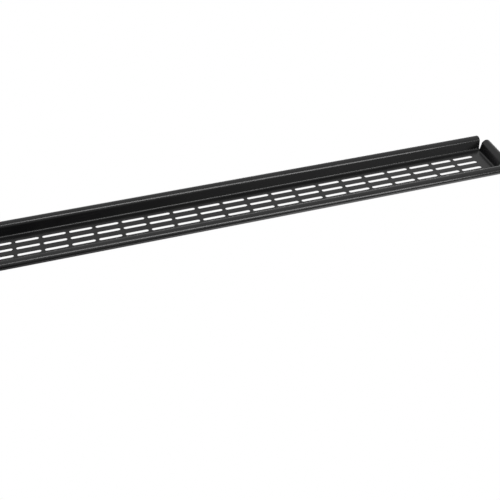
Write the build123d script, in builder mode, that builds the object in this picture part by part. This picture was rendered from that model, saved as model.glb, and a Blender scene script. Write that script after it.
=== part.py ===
from build123d import *
import os
from math import cos, radians, sin

# Slotted baguette tray, folded from one coated sheet. Millimetres, +Z up, X along the tray.
# The origin is the middle of the floor's underside, which is the face the tray rests on.
# The sheet is split where the real one is bent: a flat slotted floor, four leaning walls
# that carry the fold, and four half-round lips that the walls roll over into.

# Overall sizes
tray_length = 600.0
tray_width = 75.0
tray_height = 12.5

# Sheet and section of the walls and lips
sheet = 1.0
wall_lean = 25.8  # degrees from upright
fold_radius = 2.0  # inside of the fold between floor and wall
lip_radius = 6.0  # over the top of the lip
lip_drop = 90.0  # degrees the lip turns down past its crown
land = 1.4  # flat strip of floor that each wall keeps beside its fold
lip_land = 1.0  # flat strip of wall that each lip keeps below its roll

# Slots in the floor
slot_length = 23.7
slot_width = 4.0
column_pitch = 27.3
row_pitch = 10.7
end_margin = 24.0  # least distance from an end fold to the middle of a slot
side_margin = 9.0  # least distance from a side fold to the middle of a row

# Open corners
relief_radius = 1.0  # round notch in the side wall at the foot of each corner slit
relief_offset = 0.4  # from the end wall's edge to the middle of the notch
side_overrun = 3.4  # side walls run on past the start of the end fold
side_flare = 1.75  # and this much further at the lip
end_flare = 2.5  # end walls widen by this from the floor to the lip
corner_radius = 7.5  # corners of the lips, seen from above

# Section worked out from the floor's edge outwards
rise_angle = 90.0 - wall_lean
lean_direction = (cos(radians(rise_angle)), sin(radians(rise_angle)))
fold_in = lean_direction[1]
fold_up = 1.0 - lean_direction[0]
wall_length = (tray_height - sheet - (fold_radius + lip_radius) * fold_up) / fold_in
fold_reach = fold_radius * fold_in
fold_clear = (fold_radius + sheet) * fold_in  # out to where the fold's underside ends
wall_reach = fold_reach + wall_length * lean_direction[0]
lip_reach = wall_reach + lip_radius * fold_in + lip_radius

# Where the folds start, and the edges of the flat floor panel
fold_x = tray_length / 2 - lip_reach
fold_y = tray_width / 2 - lip_reach
panel_x = fold_x - land
panel_y = fold_y - land

columns = int((2 * fold_x - 2 * end_margin) / column_pitch) + 1
rows = int((2 * fold_y - 2 * side_margin) / row_pitch) + 1

os.makedirs("parts", exist_ok=True)


def finish(builder, name):
    """Label a finished piece and write it under its own name."""
    builder.part.label = name
    export_step(builder.part, f"parts/{name}.step")


def section_plane(outward):
    """Upright plane whose local x points outward from the tray and local y up."""
    return Plane(origin=(0, 0, 0), x_dir=outward, z_dir=Vector(outward).cross(Vector(0, 0, 1)))


def plan_plane(outward):
    """Level plane whose local x points outward from the tray."""
    return Plane(origin=(0, 0, 0), x_dir=outward, z_dir=(0, 0, 1))


def plan_outline(outward, fold, foot, top, notches=()):
    """Outline of one wall and its lip from above, half as wide as foot along the fold
    and as top along the lip, with the lip's two outer corners rounded."""
    inner, outer = fold - land, fold + lip_reach
    half = [(inner, foot), (fold + fold_clear, foot), (fold + wall_reach, top), (outer, top)]
    with BuildSketch(plan_plane(outward)) as outline:
        with BuildLine():
            Polyline(*half, *[(x, -y) for x, y in reversed(half)], close=True)
        make_face()
        fillet(vertices().group_by(Axis.X)[-1], corner_radius)
        for notch in notches:
            with Locations(notch):
                Circle(relief_radius, mode=Mode.SUBTRACT)
    return outline.sketch


def make_wall(name, outward, fold, foot, top, notches=()):
    """Flat land, fold and leaning wall, up to the edge of the lip's own flat strip."""
    outline = plan_outline(outward, fold, foot, top, notches)
    with BuildPart() as wall:
        with BuildSketch(section_plane(outward)):
            with BuildLine():
                flat = Line((fold - land, sheet), (fold, sheet))
                bend = JernArc(flat @ 1, flat % 1, fold_radius, rise_angle)
                PolarLine(bend @ 1, wall_length - lip_land, direction=lean_direction)
                offset(amount=sheet, side=Side.RIGHT)
            make_face()
        extrude(amount=top + corner_radius, both=True)
        extrude(outline, amount=tray_height, mode=Mode.INTERSECT)
    finish(wall, name)


def make_lip(name, outward, fold, foot, top):
    """Top of the wall and the half-round lip, over the crown and down to its free edge."""
    roll_start = Vector(fold + wall_reach, tray_height - lip_radius * fold_up)
    outline = plan_outline(outward, fold, foot, top)
    with BuildPart() as lip:
        with BuildSketch(section_plane(outward)):
            with BuildLine():
                flat = Line(roll_start - Vector(lean_direction) * lip_land, roll_start)
                JernArc(flat @ 1, flat % 1, lip_radius, -(rise_angle + lip_drop))
                offset(amount=sheet, side=Side.RIGHT)
            make_face()
        extrude(amount=top + corner_radius, both=True)
        extrude(outline, amount=tray_height, mode=Mode.INTERSECT)
    finish(lip, name)


# Slotted floor: the flat panel between the folds, with its rows of air slots
with BuildPart() as slotted_floor:
    with BuildSketch(Plane.XY):
        Rectangle(2 * panel_x, 2 * panel_y)
        with GridLocations(column_pitch, row_pitch, columns, rows):
            SlotOverall(slot_length, slot_width, mode=Mode.SUBTRACT)
    extrude(amount=sheet)
finish(slotted_floor, "slotted_floor")

# Side walls and lips, past both end folds, with a round notch at each end of the foot
side_foot = fold_x + side_overrun
side_top = side_foot + side_flare
side_notches = [(panel_y + relief_offset, y) for y in (-side_foot, side_foot)]
for side, outward in (("rear", (0, 1, 0)), ("front", (0, -1, 0))):
    make_wall(f"{side}_wall", outward, fold_y, side_foot, side_top, side_notches)
    make_lip(f"{side}_lip", outward, fold_y, side_foot, side_top)

# End walls and lips, between the side walls
end_foot = panel_y
end_top = end_foot + end_flare
for end, outward in (("left_end", (-1, 0, 0)), ("right_end", (1, 0, 0))):
    make_wall(f"{end}_wall", outward, fold_x, end_foot, end_top)
    make_lip(f"{end}_lip", outward, fold_x, end_foot, end_top)
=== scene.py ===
from math import cos, pi, radians, sin, sqrt

import bmesh
import bpy
from mathutils import Matrix, Vector


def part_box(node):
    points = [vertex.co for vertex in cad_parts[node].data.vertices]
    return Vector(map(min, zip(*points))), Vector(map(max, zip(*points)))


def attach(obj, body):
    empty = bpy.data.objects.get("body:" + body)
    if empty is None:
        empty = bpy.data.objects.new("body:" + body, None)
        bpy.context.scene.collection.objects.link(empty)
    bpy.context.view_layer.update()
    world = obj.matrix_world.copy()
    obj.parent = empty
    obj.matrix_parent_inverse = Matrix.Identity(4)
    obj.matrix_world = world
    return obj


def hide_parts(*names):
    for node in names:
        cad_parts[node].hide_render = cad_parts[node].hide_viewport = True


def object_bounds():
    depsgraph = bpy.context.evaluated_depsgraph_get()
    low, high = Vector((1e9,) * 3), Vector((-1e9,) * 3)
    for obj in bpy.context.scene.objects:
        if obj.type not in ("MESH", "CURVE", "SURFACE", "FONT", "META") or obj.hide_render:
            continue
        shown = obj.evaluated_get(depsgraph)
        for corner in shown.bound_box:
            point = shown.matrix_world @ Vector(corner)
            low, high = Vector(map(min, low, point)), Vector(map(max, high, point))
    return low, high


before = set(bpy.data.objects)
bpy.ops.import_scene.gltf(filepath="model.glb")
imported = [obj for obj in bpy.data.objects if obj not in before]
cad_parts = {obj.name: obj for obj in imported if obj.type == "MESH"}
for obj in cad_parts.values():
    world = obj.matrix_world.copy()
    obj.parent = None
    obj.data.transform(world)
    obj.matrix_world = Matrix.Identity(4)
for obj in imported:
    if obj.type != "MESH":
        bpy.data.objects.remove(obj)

cad_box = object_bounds()

# ---------------------------------------------------------------------------
# Studio. The tray lies on a glowing white light table, in a pale room that is
# bright low down behind it and to its right. One long soft light hangs in front.
# ---------------------------------------------------------------------------

scene = bpy.context.scene
scene.view_settings.view_transform = "Standard"

aim_point = Vector((0.0, 0.0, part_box("slotted_floor")[1].z))
camera_offset = Vector((-0.2264, -0.7236, 0.5663))
camera_pitch = radians(90.0 - 39.70)
camera_heading = radians(-17.49)

camera_data = bpy.data.cameras.new("camera")
camera_data.sensor_width = 36.0
camera_data.lens = 63.9
camera_data.clip_start = 0.01
camera = bpy.data.objects.new("camera", camera_data)
camera.location = aim_point + camera_offset
camera.rotation_euler = (camera_pitch, 0.0, camera_heading)
scene.collection.objects.link(camera)
scene.camera = camera


def linear(hex_colour):
    """sRGB hex, such as "#1a1a1a", to the linear colour that shaders take."""
    channels = [int(hex_colour[i:i + 2], 16) / 255 for i in (1, 3, 5)]
    return [c / 12.92 if c <= 0.04045 else ((c + 0.055) / 1.055) ** 2.4 for c in channels] + [1.0]


def add_node(tree, kind, links=(), **settings):
    """Add a shader node. Settings are its own properties or, by name, its inputs; links
    are (input, source socket) pairs."""
    node = tree.nodes.new(kind)
    for name, value in settings.items():
        if hasattr(node, name):
            setattr(node, name, value)
        else:
            node.inputs[name.replace("_", " ")].default_value = value
    for name, source in links:
        tree.links.new(source, node.inputs[name])
    return node


# Room: its glow by how far a direction turns towards bright_side, from facing away (0) to
# facing it (1). The camera sees plain white instead.
bright_side = Vector((0.45, 0.85, 0.15)).normalized()
room_stops = ((0.10, "#1e1e1e"), (0.18, "#8d8d8d"), (0.60, "#b2b2b2"), (0.75, "#c7c7c7"),
              (0.93, "#a9a9a9"), (1.0, "#dfdfdf"))
room_glow = 1.5
backdrop_colour = "#ffffff"

world = bpy.data.worlds.new("pale_room")
world.use_nodes = True
tree = world.node_tree
tree.nodes.clear()
place = add_node(tree, "ShaderNodeTexCoord")
facing = add_node(tree, "ShaderNodeVectorMath", [(0, place.outputs["Generated"])],
                  operation="DOT_PRODUCT")
facing.inputs[1].default_value = bright_side
spread = add_node(tree, "ShaderNodeMapRange", [("Value", facing.outputs["Value"])], From_Min=-1.0)
shade = add_node(tree, "ShaderNodeValToRGB", [("Fac", spread.outputs["Result"])])
for _ in room_stops[2:]:
    shade.color_ramp.elements.new(0.5)  # the next loop moves it to its place
for stop, (position, colour) in zip(shade.color_ramp.elements, room_stops):
    stop.position = position
    stop.color = linear(colour)
glow = add_node(tree, "ShaderNodeBackground", [("Color", shade.outputs["Color"])], Strength=room_glow)
path = add_node(tree, "ShaderNodeLightPath")
plain = add_node(tree, "ShaderNodeBackground", Color=linear(backdrop_colour), Strength=1.0)
seen = add_node(tree, "ShaderNodeMixShader",
                [(0, path.outputs["Is Camera Ray"]), (1, glow.outputs[0]), (2, plain.outputs[0])])
add_node(tree, "ShaderNodeOutputWorld", [("Surface", seen.outputs[0])])
scene.world = world

# Softbox: a long strip above the front of the tray. It faces the tray's middle, and its
# length runs down towards the right. Its reflection is the bright line along each long lip
# and along the rear fold.
softbox_centre = Vector((0.23, -0.58, 0.90))
softbox_run = Vector((0.94, -0.49, -0.48))
softbox_length = 1.3
softbox_width = 0.22
softbox_glow = 7.0

softbox_data = bpy.data.lights.new("front_softbox", "AREA")
softbox_data.shape = "RECTANGLE"
softbox_data.size = softbox_length
softbox_data.size_y = softbox_width
softbox_data.energy = softbox_glow * pi * softbox_length * softbox_width
softbox = bpy.data.objects.new("front_softbox", softbox_data)
back = (softbox_centre - aim_point).normalized()
side = (softbox_run - back * softbox_run.dot(back)).normalized()
turn = Matrix((side, back.cross(side), back)).transposed().to_4x4()
softbox.matrix_world = Matrix.Translation(softbox_centre) @ turn
softbox.visible_camera = False
scene.collection.objects.link(softbox)

# Light table: a white acrylic sheet lit from inside, so nothing on it casts a dark shadow. It
# glows less under the left of the tray, looks evenly white, and is clear seen from below.
table_reach = 3.0
table_colour = "#ffffff"
dim_glow = 0.9
full_glow = 3.0
dim_until = -0.25  # along X, and so is the next
full_from = 0.10

table_shape = bmesh.new()
bmesh.ops.create_grid(table_shape, x_segments=1, y_segments=1, size=table_reach)
table_mesh = bpy.data.meshes.new("light_table")
table_shape.to_mesh(table_mesh)
table_shape.free()
table = bpy.data.objects.new("light_table", table_mesh)
scene.collection.objects.link(table)

acrylic = bpy.data.materials.new("lit_white_acrylic")
acrylic.use_nodes = True
tree = acrylic.node_tree
tree.nodes.clear()
place = add_node(tree, "ShaderNodeTexCoord")
across = add_node(tree, "ShaderNodeSeparateXYZ", [("Vector", place.outputs["Object"])])
strength = add_node(tree, "ShaderNodeMapRange", [("Value", across.outputs["X"])],
                    From_Min=dim_until, From_Max=full_from, To_Min=dim_glow, To_Max=full_glow)
glow = add_node(tree, "ShaderNodeEmission", [("Strength", strength.outputs["Result"])],
                Color=linear(table_colour))
even = add_node(tree, "ShaderNodeEmission", Color=linear(table_colour), Strength=1.0)
path = add_node(tree, "ShaderNodeLightPath")
lit = add_node(tree, "ShaderNodeMixShader",
               [(0, path.outputs["Is Camera Ray"]), (1, glow.outputs[0]), (2, even.outputs[0])])
face = add_node(tree, "ShaderNodeNewGeometry")
clear = add_node(tree, "ShaderNodeBsdfTransparent")
seen = add_node(tree, "ShaderNodeMixShader",
                [(0, face.outputs["Backfacing"]), (1, lit.outputs[0]), (2, clear.outputs[0])])
add_node(tree, "ShaderNodeOutputMaterial", [("Surface", seen.outputs[0])])
table_mesh.materials.append(acrylic)

# ---------------------------------------------------------------------------
# Coating. Non-stick coating, sprayed on the whole folded sheet and baked. To the
# eye it is near black and satin, with a soft waver and a fine stipple.
# ---------------------------------------------------------------------------

coating_colour = "#0b0b0c"
thin_colour = "#1a1918"
coating_ior = 1.5
coating_roughness = 0.18
rim_roughness = 0.42

spray_band_size = 0.035
thin_from, thin_to = 0.40, 0.70  # noise between these goes from full to thin
thin_most = 0.20  # how near a thin patch comes to a cut rim, which is 1

hairline_size = 0.0015
hairline_length = 0.025
hairline_from, hairline_to = 0.58, 0.72  # noise between these goes from clean to marked
hairline_dulling = 0.06  # added to the roughness

orange_peel_size = 0.004
orange_peel_height = 0.00006
orange_peel_strength = 0.25
stipple_size = 0.0006  # about twice the real grain, which is too fine to show
stipple_height = 0.00003
stipple_strength = 0.15

coating = bpy.data.materials.new("baked_nonstick_coating")
coating.use_nodes = True
tree = coating.node_tree
tree.nodes.clear()
place = add_node(tree, "ShaderNodeTexCoord").outputs["Object"]

# Uneven spray: near black where it is full, a touch paler and duller where it is thin, and
# most of all on the cut rims, where it draws back from the edge.
bands = add_node(tree, "ShaderNodeTexNoise", [("Vector", place)], Scale=1 / spray_band_size, Detail=3.0)
uneven = add_node(tree, "ShaderNodeMapRange", [("Value", bands.outputs["Fac"])],
                  From_Min=thin_from, From_Max=thin_to, To_Max=thin_most)
rim = add_node(tree, "ShaderNodeAttribute", attribute_name="rim")
thin = add_node(tree, "ShaderNodeMath", [(0, uneven.outputs["Result"]), (1, rim.outputs["Fac"])],
                operation="MAXIMUM")
colour = add_node(tree, "ShaderNodeValToRGB", [("Fac", thin.outputs["Value"])])
colour.color_ramp.elements[0].color = linear(coating_colour)
colour.color_ramp.elements[1].color = linear(thin_colour)

# Handling marks: fine hairlines along the tray, from loaves and from stacking, that dull the
# sheen where they are.
stretch = add_node(tree, "ShaderNodeMapping", [("Vector", place)],
                   Scale=(hairline_size / hairline_length, 1.0, 1.0))
hairs = add_node(tree, "ShaderNodeTexNoise", [("Vector", stretch.outputs["Vector"])],
                 Scale=1 / hairline_size, Detail=4.0)
marks = add_node(tree, "ShaderNodeMapRange", [("Value", hairs.outputs["Fac"])],
                 From_Min=hairline_from, From_Max=hairline_to, To_Max=hairline_dulling)
sheen = add_node(tree, "ShaderNodeMapRange", [("Value", thin.outputs["Value"])],
                 To_Min=coating_roughness, To_Max=rim_roughness)
rough = add_node(tree, "ShaderNodeMath", [(0, sheen.outputs["Result"]), (1, marks.outputs["Result"])],
                 operation="ADD")

# Sprayed surface: a slow orange peel that wavers the highlights, under a fine stipple.
peel = add_node(tree, "ShaderNodeTexNoise", [("Vector", place)], Scale=1 / orange_peel_size, Detail=1.0)
waver = add_node(tree, "ShaderNodeBump", [("Height", peel.outputs["Fac"])],
                 Strength=orange_peel_strength, Distance=orange_peel_height)
stipple = add_node(tree, "ShaderNodeTexNoise", [("Vector", place)], Scale=1 / stipple_size, Detail=2.0)
grain = add_node(tree, "ShaderNodeBump",
                 [("Height", stipple.outputs["Fac"]), ("Normal", waver.outputs["Normal"])],
                 Strength=stipple_strength, Distance=stipple_height)
skin = add_node(tree, "ShaderNodeBsdfPrincipled",
                [("Base Color", colour.outputs["Color"]), ("Roughness", rough.outputs["Value"]),
                 ("Normal", grain.outputs["Normal"])], IOR=coating_ior)
add_node(tree, "ShaderNodeOutputMaterial", [("Surface", skin.outputs[0])])

# ---------------------------------------------------------------------------
# Slotted floor. The flat bottom of the tray, in coated sheet, punched with three
# rows of long air slots. The coating softens the slots' cut rims.
# ---------------------------------------------------------------------------

panel_low, panel_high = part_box("slotted_floor")
sheet = panel_high.z - panel_low.z
slot_length = 0.0237
slot_width = 0.0040
column_pitch = 0.0273
row_pitch = 0.0107
columns = 20
rows = 3
slot_end_steps = 12
rim_round = 0.00025
rim_steps = 2
sharp_angle = radians(60)  # faces that meet at more than this have an edge between them
speck = 1e-6  # places closer than a thousandth of a millimetre count as one


def only_verts(geom):
    """The vertices among what an operator gives back."""
    return [g for g in geom if isinstance(g, bmesh.types.BMVert)]


def finish_piece(bm, name, cut_edges):
    """Round the cut edges, shade the piece, coat it and let it stand for its CAD node."""
    worn = bm.verts.layers.float.new("rim")
    rounded = bmesh.ops.bevel(bm, geom=cut_edges, offset=rim_round, segments=rim_steps, profile=0.5,
                              affect="EDGES", material=-1, clamp_overlap=True)
    strips = set(rounded["faces"])
    for vert in bm.verts:
        vert[worn] = float(strips.issuperset(vert.link_faces))
    bmesh.ops.recalc_face_normals(bm, faces=bm.faces)
    for face in bm.faces:
        face.smooth = True
    for edge in bm.edges:
        edge.smooth = edge.calc_face_angle(pi) < sharp_angle
    mesh = bpy.data.meshes.new(name)
    bm.to_mesh(mesh)
    bm.free()
    mesh.materials.append(coating)
    piece = bpy.data.objects.new(name, mesh)
    scene.collection.objects.link(piece)
    even_shading = piece.modifiers.new("even_shading", "WEIGHTED_NORMAL")
    even_shading.keep_sharp = True
    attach(piece, "root")
    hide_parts(name.removesuffix("_sheet"))


# One slot's rim: a half-round end, the same turned about, and the two straight sides.
slot_end = slot_length / 2 - slot_width / 2
bm = bmesh.new()
start = bm.verts.new((slot_end, -slot_width / 2, panel_high.z))
bmesh.ops.spin(bm, geom=[start], cent=(slot_end, 0, 0), axis=(0, 0, 1), angle=pi, steps=slot_end_steps)
other = bmesh.ops.duplicate(bm, geom=bm.verts[:] + bm.edges[:])["geom"]
bmesh.ops.rotate(bm, verts=only_verts(other), cent=(0, 0, 0), matrix=Matrix.Rotation(pi, 3, "Z"))
for sign in (-1, 1):
    corners = [v for v in bm.verts
               if abs(v.co.x) < slot_end + speck and v.co.y * sign > slot_width / 2 - speck]
    bm.edges.new(corners)

# The metal round that slot, spread out to a rectangle of one pitch each way.
outline = bmesh.ops.extrude_edge_only(bm, edges=bm.edges[:])["geom"]
for vert in only_verts(outline):
    nearest_end = slot_end if vert.co.x > 0 else -slot_end
    out_x, out_y = vert.co.x - nearest_end, vert.co.y
    reach = max(abs(out_x), abs(out_y))
    vert.co.x = nearest_end + out_x / reach * (column_pitch / 2 - slot_end)
    vert.co.y = out_y / reach * row_pitch / 2

# All the slots, then plain margins out to the panel's edges, then the sheet's thickness.
cell = bm.verts[:] + bm.edges[:] + bm.faces[:]
for column in range(columns):
    for row in range(rows):
        copy = bmesh.ops.duplicate(bm, geom=cell)["geom"]
        move = ((column - (columns - 1) / 2) * column_pitch, (row - (rows - 1) / 2) * row_pitch, 0)
        bmesh.ops.translate(bm, vec=move, verts=only_verts(copy))
bmesh.ops.delete(bm, geom=cell, context="VERTS")
bmesh.ops.remove_doubles(bm, verts=bm.verts, dist=speck)
for axis, edge_now, edge_wanted in ((0, columns * column_pitch / 2, panel_high.x),
                                    (1, rows * row_pitch / 2, panel_high.y)):
    for sign in (-1, 1):
        border = [e for e in bm.edges if e.is_boundary
                  and all(abs(v.co[axis] * sign - edge_now) < speck for v in e.verts)]
        margin = bmesh.ops.extrude_edge_only(bm, edges=border)["geom"]
        for vert in only_verts(margin):
            vert.co[axis] = sign * edge_wanted
under = bmesh.ops.extrude_face_region(bm, geom=bm.faces[:], use_keep_orig=True)["geom"]
bmesh.ops.translate(bm, vec=(0, 0, -sheet), verts=only_verts(under))
bmesh.ops.recalc_face_normals(bm, faces=bm.faces)

inside_x, inside_y = panel_high.x - speck, panel_high.y - speck
slot_rims = [e for e in bm.edges if len(e.link_faces) == 2 and e.calc_face_angle() > sharp_angle
             and all(abs(v.co.x) < inside_x and abs(v.co.y) < inside_y for v in e.verts)]
finish_piece(bm, "slotted_floor_sheet", slot_rims)

# ---------------------------------------------------------------------------
# Walls. Each is the same sheet, folded up from the floor to lean outwards. The
# corners are left open, with a round notch at each end of a side wall's foot.
# ---------------------------------------------------------------------------

tray_top = cad_box[1].z
rise_angle = radians(90.0 - 25.8)  # the walls lean 25.8 degrees outwards
fold_radius = 0.0020  # inside of the fold between floor and wall
lip_radius = 0.0060  # over the top of the lip
land = 0.0014  # flat strip of floor that each wall keeps beside its fold
lip_land = 0.0010  # flat strip of wall that each lip keeps below its roll
side_overrun = 0.0034  # side walls run on past the start of the end fold
side_flare = 0.00175  # and this much further at the lip
end_flare = 0.0025  # end walls widen by this from the floor to the lip
corner_radius = 0.0075  # corners of the lips, seen from above
notch_radius = 0.0010
notch_offset = 0.0004  # from the end wall's edge to the middle of the notch
fold_steps = 10
notch_steps = 32
drill_depth = 4 * lip_radius
cut_angle = radians(40)  # faces of a wall or lip that meet at more than this have a cut edge
same_way = 0.999  # two directions whose dot product is above this count as one

lean = Vector((cos(rise_angle), 0, sin(rise_angle)))
wall_length = (tray_top - sheet - (fold_radius + lip_radius) * (1 - lean.x)) / lean.z
wall_reach = fold_radius * lean.z + wall_length * lean.x
lip_reach = wall_reach + lip_radius * lean.z + lip_radius

fold_x = panel_high.x + land
fold_y = panel_high.y + land
side_foot = fold_x + side_overrun
side_top = side_foot + side_flare
end_foot = panel_high.y
end_top = end_foot + end_flare
side_notch = (panel_high.y + notch_offset, side_foot)

# Each side of the tray, with its turn from +X
sides = (("rear", pi / 2), ("front", -pi / 2))
ends = (("right_end", 0.0), ("left_end", pi))


def half_width(u, fold, foot, top):
    """Half the width of a wall or lip at a distance u from the tray's middle, from above."""
    flare_start = fold + (fold_radius + sheet) * lean.z
    flare_end = fold + wall_reach
    if u < flare_start:
        return foot
    if u < flare_end:
        return foot + (top - foot) * (u - flare_start) / (flare_end - flare_start)
    into_corner = max(0.0, u - (fold + lip_reach - corner_radius))
    return top - corner_radius + sqrt(max(0.0, corner_radius**2 - into_corner**2))


def push(bm, edge, move):
    """Carry the section's last edge straight on."""
    grown = bmesh.ops.extrude_edge_only(bm, edges=[edge])["geom"]
    verts = only_verts(grown)
    bmesh.ops.translate(bm, vec=move, verts=verts)
    return next(e for e in grown if isinstance(e, bmesh.types.BMEdge) and set(e.verts) == set(verts))


def roll(bm, edge, centre, angle, steps):
    """Carry the section's last edge round a bend."""
    spun = bmesh.ops.spin(bm, geom=[edge], cent=centre, axis=(0, -1, 0), angle=angle, steps=steps)
    return next(g for g in spun["geom_last"] if isinstance(g, bmesh.types.BMEdge))


def wall_section(bm, fold):
    """Flat land, fold and leaning wall. Gives back its two seams, each as a point and the
    direction that it faces."""
    inner = Vector((fold - land, 0, panel_high.z))
    edge = bm.edges.new([bm.verts.new(inner), bm.verts.new(inner - Vector((0, 0, sheet)))])
    edge = push(bm, edge, (land, 0, 0))
    edge = roll(bm, edge, (fold, 0, panel_high.z + fold_radius), rise_angle, fold_steps)
    edge = push(bm, edge, lean * (wall_length - lip_land))
    return [(inner, Vector((-1, 0, 0))), (edge.verts[0].co.copy(), lean)]


def on_seam(face, seams):
    """Whether a face is a butt end that meets the next piece of the sheet."""
    return any(face.normal.dot(way) > same_way
               and abs((face.calc_center_median() - point).dot(way)) < speck
               for point, way in seams)


def bite(bm, notch):
    """Cut the round notches out of both ends of a wall's foot."""
    mesh = bpy.data.meshes.new("wall_blank")
    bm.to_mesh(mesh)
    bm.free()
    blank = bpy.data.objects.new("wall_blank", mesh)
    scene.collection.objects.link(blank)
    drill = bmesh.new()
    for sign in (-1, 1):
        bmesh.ops.create_cone(drill, cap_ends=True, segments=notch_steps,
                              radius1=notch_radius, radius2=notch_radius, depth=drill_depth,
                              matrix=Matrix.Translation((notch[0], sign * notch[1], 0)))
    drill_mesh = bpy.data.meshes.new("drill")
    drill.to_mesh(drill_mesh)
    drill.free()
    cutter = bpy.data.objects.new("drill", drill_mesh)
    scene.collection.objects.link(cutter)
    cut = blank.modifiers.new("cut", "BOOLEAN")
    cut.object = cutter
    cut.solver = "EXACT"
    bpy.context.view_layer.update()
    evaluated = blank.evaluated_get(bpy.context.evaluated_depsgraph_get())
    result = bmesh.new()
    result.from_mesh(bpy.data.meshes.new_from_object(evaluated))
    bpy.data.objects.remove(blank)
    bpy.data.objects.remove(cutter)
    bmesh.ops.remove_doubles(result, verts=result.verts, dist=speck)
    result.normal_update()
    return result


def make_flap(name, turn, section, fold, foot, top, notch=None):
    """Draw a section along its wall, shape its ends to the outline, cut its notches if it
    has them, and turn it to its side of the tray."""
    bm = bmesh.new()
    seams = section(bm, fold)
    drawn = bmesh.ops.extrude_face_region(bm, geom=bm.faces[:], use_keep_orig=True)["geom"]
    far = set(only_verts(drawn))
    for vert in bm.verts:
        reach = half_width(vert.co.x, fold, foot, top)
        vert.co.y = reach if vert in far else -reach
    bmesh.ops.recalc_face_normals(bm, faces=bm.faces)
    bm.normal_update()
    if notch:
        bm = bite(bm, notch)
    cut_edges = [e for e in bm.edges if len(e.link_faces) == 2 and e.calc_face_angle() > cut_angle
                 and not any(on_seam(f, seams) for f in e.link_faces)]
    bmesh.ops.rotate(bm, verts=bm.verts, cent=(0, 0, 0), matrix=Matrix.Rotation(turn, 3, "Z"))
    finish_piece(bm, name, cut_edges)


for side, turn in sides:
    make_flap(f"{side}_wall_sheet", turn, wall_section, fold_y, side_foot, side_top, side_notch)
for end, turn in ends:
    make_flap(f"{end}_wall_sheet", turn, wall_section, fold_x, end_foot, end_top)

# ---------------------------------------------------------------------------
# Lips. The top of each wall, in the same sheet, rolled outwards over a round bar
# and down to a free edge, with its corners rounded off.
# ---------------------------------------------------------------------------

lip_drop = pi / 2  # from the crown down to the free edge
lip_steps = 36


def lip_section(bm, fold):
    """Top of the wall and the half-round roll. Gives back its one seam."""
    roll_start = Vector((fold + wall_reach, 0, tray_top - lip_radius * (1 - lean.x)))
    inner = roll_start - lean * lip_land
    across = Vector((lean.z, 0, -lean.x))
    edge = bm.edges.new([bm.verts.new(inner), bm.verts.new(inner + across * sheet)])
    edge = push(bm, edge, lean * lip_land)
    roll(bm, edge, roll_start + across * lip_radius, -(rise_angle + lip_drop), lip_steps)
    return [(inner, -lean)]


for side, turn in sides:
    make_flap(f"{side}_lip_sheet", turn, lip_section, fold_y, side_foot, side_top)
for end, turn in ends:
    make_flap(f"{end}_lip_sheet", turn, lip_section, fold_x, end_foot, end_top)
